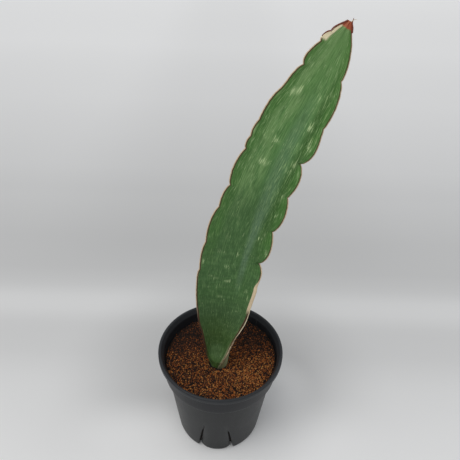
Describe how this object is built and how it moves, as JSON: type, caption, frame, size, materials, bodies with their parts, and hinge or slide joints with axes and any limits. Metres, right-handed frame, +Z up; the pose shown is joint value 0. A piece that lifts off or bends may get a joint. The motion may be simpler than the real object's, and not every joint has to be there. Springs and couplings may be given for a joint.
{
  "type": "potted snake plant leaf",
  "caption": "Broad wavy-edged snake plant leaf standing in a small dark nursery pot filled with granular potting soil.",
  "frame": {"origin": "on the pot's axis, on the flat pad under the pot, at the level of the surface that it stands on", "axes": "+Z up, -Y the side to which the leaf shows its face, +X the side to which the leaf leans"},
  "size_m": [0.1334, 0.1099, 0.3628],
  "materials": {
    "pot_plastic": "satin",
    "soil_grains": "matte",
    "leaf_skin": "satin"
  },
  "bodies": {
    "root": {"pot": "pot_plastic", "soil": "soil_grains", "leaf": "leaf_skin"}
  },
  "joints": []
}
